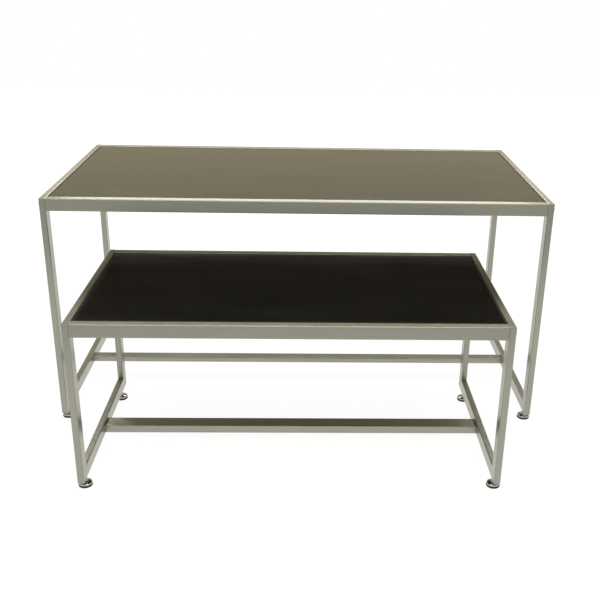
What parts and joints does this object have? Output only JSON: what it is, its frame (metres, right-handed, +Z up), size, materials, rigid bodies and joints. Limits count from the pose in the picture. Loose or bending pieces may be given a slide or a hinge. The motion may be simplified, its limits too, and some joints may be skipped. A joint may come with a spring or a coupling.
{
  "type": "nesting display table pair",
  "caption": "Pair of nesting shop display tables: a low table that pulls out from under a high one, each a metal tube frame with a dark inset top and levelling feet.",
  "frame": {"origin": "on the floor, at the middle of the area that the two tables cover together, with the low table pulled out", "axes": "+X to the right along the long sides, +Y towards the back of the high table, +Z up; the low table stands towards -Y"},
  "size_m": [1.545, 1.162, 0.747],
  "materials": {
    "frame_tube": "brushed, satin",
    "large_board": "dark satin laminate",
    "small_board": "dark satin laminate",
    "ledge_steel": "silver paint",
    "plug_steel": "turned",
    "bolt_steel": "zinc plated",
    "foot_chrome": "polished",
    "foot_rubber": "matte"
  },
  "bodies": {
    "large_table": {"large_front_rail": "frame_tube", "large_rear_rail": "frame_tube", "large_stretcher": "frame_tube", "large_end_plugs": "plug_steel", "large_frame_bolts": "bolt_steel", "large_foot_inserts": "bolt_steel", "large_left_front_leg": "frame_tube", "large_left_rear_leg": "frame_tube", "large_left_top_rail": "frame_tube", "large_left_bottom_rail": "frame_tube", "large_right_front_leg": "frame_tube", "large_right_rear_leg": "frame_tube", "large_right_top_rail": "frame_tube", "large_right_bottom_rail": "frame_tube", "large_board": "large_board", "large_long_ledges": "ledge_steel", "large_end_ledges": "ledge_steel", "large_board_screws": "bolt_steel"},
    "large_front_left_foot": {"large_front_left_foot_cup": "foot_chrome", "large_front_left_foot_sole": "foot_rubber"},
    "large_front_left_stem": {"large_front_left_foot_stem": "bolt_steel"},
    "large_front_right_foot": {"large_front_right_foot_cup": "foot_chrome", "large_front_right_foot_sole": "foot_rubber"},
    "large_front_right_stem": {"large_front_right_foot_stem": "bolt_steel"},
    "large_rear_left_foot": {"large_rear_left_foot_cup": "foot_chrome", "large_rear_left_foot_sole": "foot_rubber"},
    "large_rear_left_stem": {"large_rear_left_foot_stem": "bolt_steel"},
    "large_rear_right_foot": {"large_rear_right_foot_cup": "foot_chrome", "large_rear_right_foot_sole": "foot_rubber"},
    "large_rear_right_stem": {"large_rear_right_foot_stem": "bolt_steel"},
    "small_table": {"small_front_rail": "frame_tube", "small_rear_rail": "frame_tube", "small_stretcher": "frame_tube", "small_end_plugs": "plug_steel", "small_frame_bolts": "bolt_steel", "small_foot_inserts": "bolt_steel", "small_left_front_leg": "frame_tube", "small_left_rear_leg": "frame_tube", "small_left_top_rail": "frame_tube", "small_left_bottom_rail": "frame_tube", "small_right_front_leg": "frame_tube", "small_right_rear_leg": "frame_tube", "small_right_top_rail": "frame_tube", "small_right_bottom_rail": "frame_tube", "small_board": "small_board", "small_long_ledges": "ledge_steel", "small_end_ledges": "ledge_steel", "small_board_screws": "bolt_steel"},
    "small_front_left_foot": {"small_front_left_foot_cup": "foot_chrome", "small_front_left_foot_sole": "foot_rubber"},
    "small_front_left_stem": {"small_front_left_foot_stem": "bolt_steel"},
    "small_front_right_foot": {"small_front_right_foot_cup": "foot_chrome", "small_front_right_foot_sole": "foot_rubber"},
    "small_front_right_stem": {"small_front_right_foot_stem": "bolt_steel"},
    "small_rear_left_foot": {"small_rear_left_foot_cup": "foot_chrome", "small_rear_left_foot_sole": "foot_rubber"},
    "small_rear_left_stem": {"small_rear_left_foot_stem": "bolt_steel"},
    "small_rear_right_foot": {"small_rear_right_foot_cup": "foot_chrome", "small_rear_right_foot_sole": "foot_rubber"},
    "small_rear_right_stem": {"small_rear_right_foot_stem": "bolt_steel"}
  },
  "joints": [
    {"name": "large_front_left_foot_height", "type": "slide", "parent": "large_table", "child": "large_front_left_foot", "axis": [0, 0, 1], "range_m": [-0.012, 0.01]},
    {"name": "large_front_left_stem_turn", "type": "hinge", "parent": "large_front_left_foot", "child": "large_front_left_stem", "pos_m": [-0.75248, -0.136, 0.015], "axis": [0, 0, 1], "range_deg": [-3460, 2885]},
    {"name": "large_front_right_foot_height", "type": "slide", "parent": "large_table", "child": "large_front_right_foot", "axis": [0, 0, 1], "range_m": [-0.012, 0.01]},
    {"name": "large_front_right_stem_turn", "type": "hinge", "parent": "large_front_right_foot", "child": "large_front_right_stem", "pos_m": [0.75248, -0.136, 0.015], "axis": [0, 0, 1], "range_deg": [-3460, 2885]},
    {"name": "large_rear_left_foot_height", "type": "slide", "parent": "large_table", "child": "large_rear_left_foot", "axis": [0, 0, 1], "range_m": [-0.012, 0.01]},
    {"name": "large_rear_left_stem_turn", "type": "hinge", "parent": "large_rear_left_foot", "child": "large_rear_left_stem", "pos_m": [-0.75248, 0.536, 0.015], "axis": [0, 0, 1], "range_deg": [-3460, 2885]},
    {"name": "large_rear_right_foot_height", "type": "slide", "parent": "large_table", "child": "large_rear_right_foot", "axis": [0, 0, 1], "range_m": [-0.012, 0.01]},
    {"name": "large_rear_right_stem_turn", "type": "hinge", "parent": "large_rear_right_foot", "child": "large_rear_right_stem", "pos_m": [0.75248, 0.536, 0.015], "axis": [0, 0, 1], "range_deg": [-3460, 2885]},
    {"name": "small_table_pull", "type": "slide", "parent": "large_table", "child": "small_table", "axis": [0, -1, 0], "range_m": [-0.145, 0.26]},
    {"name": "small_front_left_foot_height", "type": "slide", "parent": "small_table", "child": "small_front_left_foot", "axis": [0, 0, 1], "range_m": [-0.012, 0.01]},
    {"name": "small_front_left_stem_turn", "type": "hinge", "parent": "small_front_left_foot", "child": "small_front_left_stem", "pos_m": [-0.60498, -0.536, 0.015], "axis": [0, 0, 1], "range_deg": [-3460, 2885]},
    {"name": "small_front_right_foot_height", "type": "slide", "parent": "small_table", "child": "small_front_right_foot", "axis": [0, 0, 1], "range_m": [-0.012, 0.01]},
    {"name": "small_front_right_stem_turn", "type": "hinge", "parent": "small_front_right_foot", "child": "small_front_right_stem", "pos_m": [0.57098, -0.536, 0.015], "axis": [0, 0, 1], "range_deg": [-3460, 2885]},
    {"name": "small_rear_left_foot_height", "type": "slide", "parent": "small_table", "child": "small_rear_left_foot", "axis": [0, 0, 1], "range_m": [-0.012, 0.01]},
    {"name": "small_rear_left_stem_turn", "type": "hinge", "parent": "small_rear_left_foot", "child": "small_rear_left_stem", "pos_m": [-0.60498, -0.016, 0.015], "axis": [0, 0, 1], "range_deg": [-3460, 2885]},
    {"name": "small_rear_right_foot_height", "type": "slide", "parent": "small_table", "child": "small_rear_right_foot", "axis": [0, 0, 1], "range_m": [-0.012, 0.01]},
    {"name": "small_rear_right_stem_turn", "type": "hinge", "parent": "small_rear_right_foot", "child": "small_rear_right_stem", "pos_m": [0.57098, -0.016, 0.015], "axis": [0, 0, 1], "range_deg": [-3460, 2885]}
  ],
  "couplings": [
    {"joint": "large_front_left_stem_turn", "follows": "large_front_left_foot_height", "rad_per_m": 5026.5},
    {"joint": "large_front_right_stem_turn", "follows": "large_front_right_foot_height", "rad_per_m": 5026.5},
    {"joint": "large_rear_left_stem_turn", "follows": "large_rear_left_foot_height", "rad_per_m": 5026.5},
    {"joint": "large_rear_right_stem_turn", "follows": "large_rear_right_foot_height", "rad_per_m": 5026.5},
    {"joint": "small_front_left_stem_turn", "follows": "small_front_left_foot_height", "rad_per_m": 5026.5},
    {"joint": "small_front_right_stem_turn", "follows": "small_front_right_foot_height", "rad_per_m": 5026.5},
    {"joint": "small_rear_left_stem_turn", "follows": "small_rear_left_foot_height", "rad_per_m": 5026.5},
    {"joint": "small_rear_right_stem_turn", "follows": "small_rear_right_foot_height", "rad_per_m": 5026.5}
  ]
}
